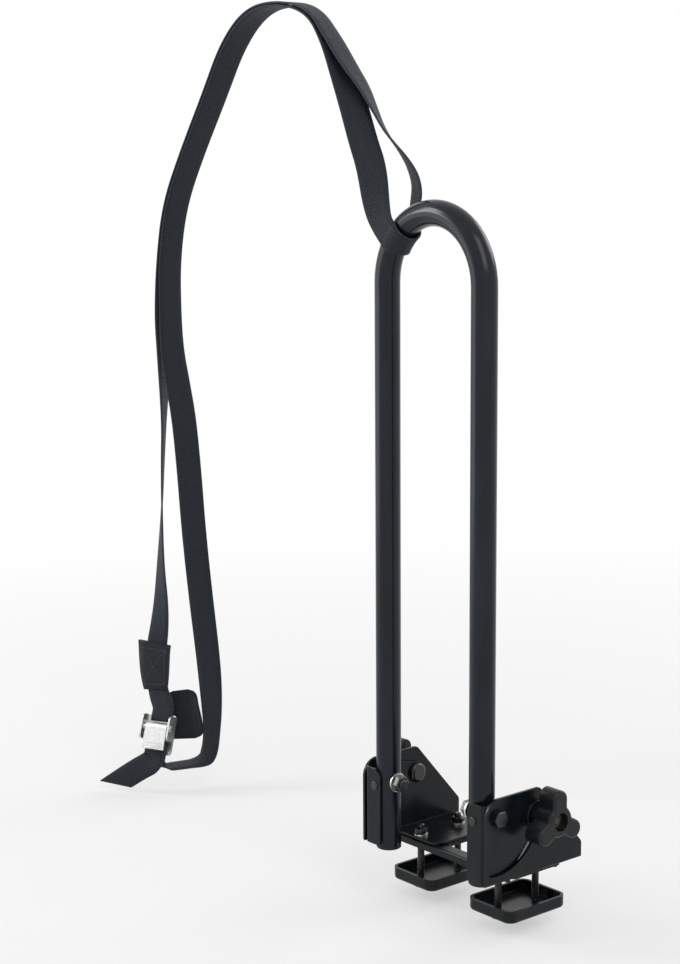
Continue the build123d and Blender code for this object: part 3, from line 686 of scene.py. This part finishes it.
SLEEVE_ROUTE = [
    (-467, -19.5, 102, 22, 0),
    (-468.5, -20, 76, 22, 0),
    (-466, -20, 52, 22, 0),
]
PAD_ROUTE = [
    beside_buckle(48, -5.5, -7, 30, 36),
    beside_buckle(30, -2.6, -4, 38, 39),
    beside_buckle(12, -2.8, -2, 50, 43),
    beside_buckle(-6, -2.6, 0, 62, 46),
]


def wrap_shape():
    """The webbing's turn round the inside of the bend, a little slack under it."""
    reach = radians(WRAP_REACH)
    outline = flat_section(WEB_W, WEB_T)
    vertices, coords = [], []
    for step in range(WRAP_STEPS + 1):
        turn = -reach + 2 * reach * step / WRAP_STEPS
        middle = TUBE_R + WRAP_GAP + WRAP_SLACK * (1 + cos(turn)) + WEB_T / 2
        for across, lift in outline:
            angle = radians(WRAP_ANGLE) - across / LEG_X
            radius = middle + lift
            out = LEG_X - radius * cos(turn)
            vertices.append((out * cos(angle), TUBE_Y + radius * sin(turn), BEND_Z + out * sin(angle)))
            coords.append((across * MM, WRAP_MID_R * turn * MM))
    return vertices, ring_faces(WRAP_STEPS + 1, len(outline), flip=True), coords


def add_strap():
    """The strap in one turn, two strands and a tail, with its sleeve, pad and stitches."""
    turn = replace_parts(new_piece("strap_turn", wrap_shape(), "webbing", "cradle"), "strap_wrap")
    back = Band("strap_back", BACK_ROUTE, "webbing")
    front = Band("strap_front", FRONT_ROUTE, "webbing")
    tail = Band("strap_end", TAIL_ROUTE, "webbing", slant=-1.0)
    sleeve = Band("sleeve", SLEEVE_ROUTE, "pad_fabric", sleeve_size)
    pad = Band("pad", PAD_ROUTE, "pad_fabric", pad_size)

    # A box with a cross in it joins each two of its corners
    box = list(combinations([(end, side) for end in BOX_ENDS for side in BOX_SIDES], 2))
    seam = new_piece("sleeve_stitches", sleeve.stitches(box, BOX_STITCHES), "webbing", "base", "thread")
    hems = [tuple((end, side) for end in HEM_ENDS) for side in HEM_SIDES]
    hem = new_piece("pad_stitches", pad.stitches(hems, HEM_STITCHES), "webbing", "base", "thread")

    for strand in (back, front):
        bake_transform(strand.piece)
    for band, node in ((tail, "strap_tail"), (sleeve, "strap_sleeve"), (pad, "buckle_pad")):
        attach(band.piece, "base")
        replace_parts(band.piece, node)
    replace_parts(back.piece, "strap_back_upper", "strap_back_lower")
    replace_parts(front.piece, "strap_front_upper", "strap_front_lower")


def thread_shape(x, y, low, high):
    """The ridge of a screw thread round an upright bolt."""
    steps = int((high - low - THREAD_PITCH) / THREAD_PITCH * THREAD_SIDES)
    root = BOLT_R - THREAD_SUNK
    vertices, coords = [], []
    for step in range(steps + 1):
        turn = 2 * pi * step / THREAD_SIDES
        level = low + THREAD_PITCH / 2 + THREAD_PITCH * step / THREAD_SIDES
        ease = min(1, step / THREAD_SIDES, (steps - step) / THREAD_SIDES)
        crest = BOLT_R + THREAD_PROUD * ease
        for radius, drop in ((root, -THREAD_HALF), (crest, 0), (root, THREAD_HALF)):
            height = level + drop * THREAD_PITCH
            vertices.append((x + radius * cos(turn), y + radius * sin(turn), height))
            coords.append((turn * radius * MM, drop * MM))
    return vertices, ring_faces(steps + 1, 3), coords


def add_fine_hardware():
    """Threads on the clamp bolts, and ribs for the thumb on the buckle's lever."""
    for side, x in (("left", -BOLT_X), ("right", BOLT_X)):
        ridges = [thread_shape(x, y, *run) for y in (-BOLT_Y, BOLT_Y) for run in THREAD_RUNS]
        new_piece(f"bolt_threads_{side}", joined(ridges), "black_fastener", f"clamp_{side}")
    ribs = []
    for y in RIB_Y:
        ends = [on_buckle(y, LEVER_Z, x) for x in RIB_X]
        ribs.append(rod(*ends, RIB_R))
    new_piece("lever_grips", joined(ribs), "buckle_metal", "buckle_cam")


def dress_solids():
    """Every solid gets the material of its slot in the record."""
    slots = {part["node"]: part["material_slot"] for part in frame["record"]["subparts"]}
    for name, solid in frame["nodes"].items():
        solid.data.materials.clear()
        solid.data.materials.append(MATERIALS[slots[name]])


def seen_rays(nodes, links):
    """One for rays from the camera, and for those that metal and glass send on."""
    light_path = nodes.new("ShaderNodeLightPath")
    total = light_path.outputs["Is Camera Ray"]
    for kind in ("Is Glossy Ray", "Is Transmission Ray"):
        both = nodes.new("ShaderNodeMath")
        both.operation = "MAXIMUM"
        links.new(total, both.inputs[0])
        links.new(light_path.outputs[kind], both.inputs[1])
        total = both.outputs[0]
    return total


def add_floor():
    """Pale floor that keeps the shadow near the object and runs out into white."""
    mesh = bpy.data.meshes.new("floor")
    low = CAD_BOX[0].z - FLOOR_DROP
    corners = [(-1, -1), (1, -1), (1, 1), (-1, 1)]
    mesh.from_pydata([(x * FLOOR_HALF, y * FLOOR_HALF, low) for x, y in corners], [], [(0, 1, 2, 3)])
    floor = bpy.data.objects.new("floor", mesh)
    shader = Shader("floor")
    shader.set(
        Base_Color=shader.tint(shader.noise(scale=3), (0.86, 0.86, 0.86), (0.9, 0.9, 0.9)),
        Roughness=0.9,
        Specular_IOR_Level=0.1,
    )
    away = shader.nodes.new("ShaderNodeVectorMath")
    away.operation = "LENGTH"
    shader.links.new(shader.place.outputs["Object"], away.inputs[0])
    white = shader.nodes.new("ShaderNodeEmission")
    blend = shader.nodes.new("ShaderNodeMixShader")
    spread = shader.span(away.outputs["Value"], to=FLOOR_WHITE, within=FLOOR_FADE)
    seen = seen_rays(shader.nodes, shader.links)
    shader.feed(blend.inputs["Fac"], shader.math("MULTIPLY", spread, seen))
    shader.links.new(shader.bsdf.outputs["BSDF"], blend.inputs[1])
    shader.links.new(white.outputs["Emission"], blend.inputs[2])
    shader.links.new(blend.outputs["Shader"], shader.nodes["Material Output"].inputs["Surface"])
    mesh.materials.append(shader.material)
    bpy.context.scene.collection.objects.link(floor)


def add_lamp(name, place, target, size, watts):
    """Rectangular lamp that faces the target and is hidden from the camera."""
    data = bpy.data.lights.new(name, "AREA")
    data.shape = "RECTANGLE"
    data.size, data.size_y = size
    data.energy = watts
    lamp = bpy.data.objects.new(name, data)
    lamp.visible_camera = False
    lamp.location = place
    lamp.rotation_euler = (Vector(target) - Vector(place)).to_track_quat("-Z", "Y").to_euler()
    bpy.context.scene.collection.objects.link(lamp)


def add_light():
    """The lamps, and a world that is white where it is seen and dimmer as a light."""
    for lamp in LAMPS:
        add_lamp(*lamp)
    world = bpy.data.worlds.new("studio")
    bpy.context.scene.world = world
    world.use_nodes = True
    nodes, links = world.node_tree.nodes, world.node_tree.links
    level = nodes.new("ShaderNodeMapRange")
    links.new(seen_rays(nodes, links), level.inputs["Value"])
    level.inputs["To Min"].default_value = WORLD_LIGHT
    level.inputs["To Max"].default_value = WORLD_SEEN
    links.new(level.outputs["Result"], nodes["Background"].inputs["Strength"])
    nodes["Background"].inputs["Color"].default_value = (1, 1, 1, 1)


add_camera()
add_strap()
add_fine_hardware()
dress_solids()
add_floor()
add_light()
bpy.context.scene.view_settings.view_transform = "Standard"
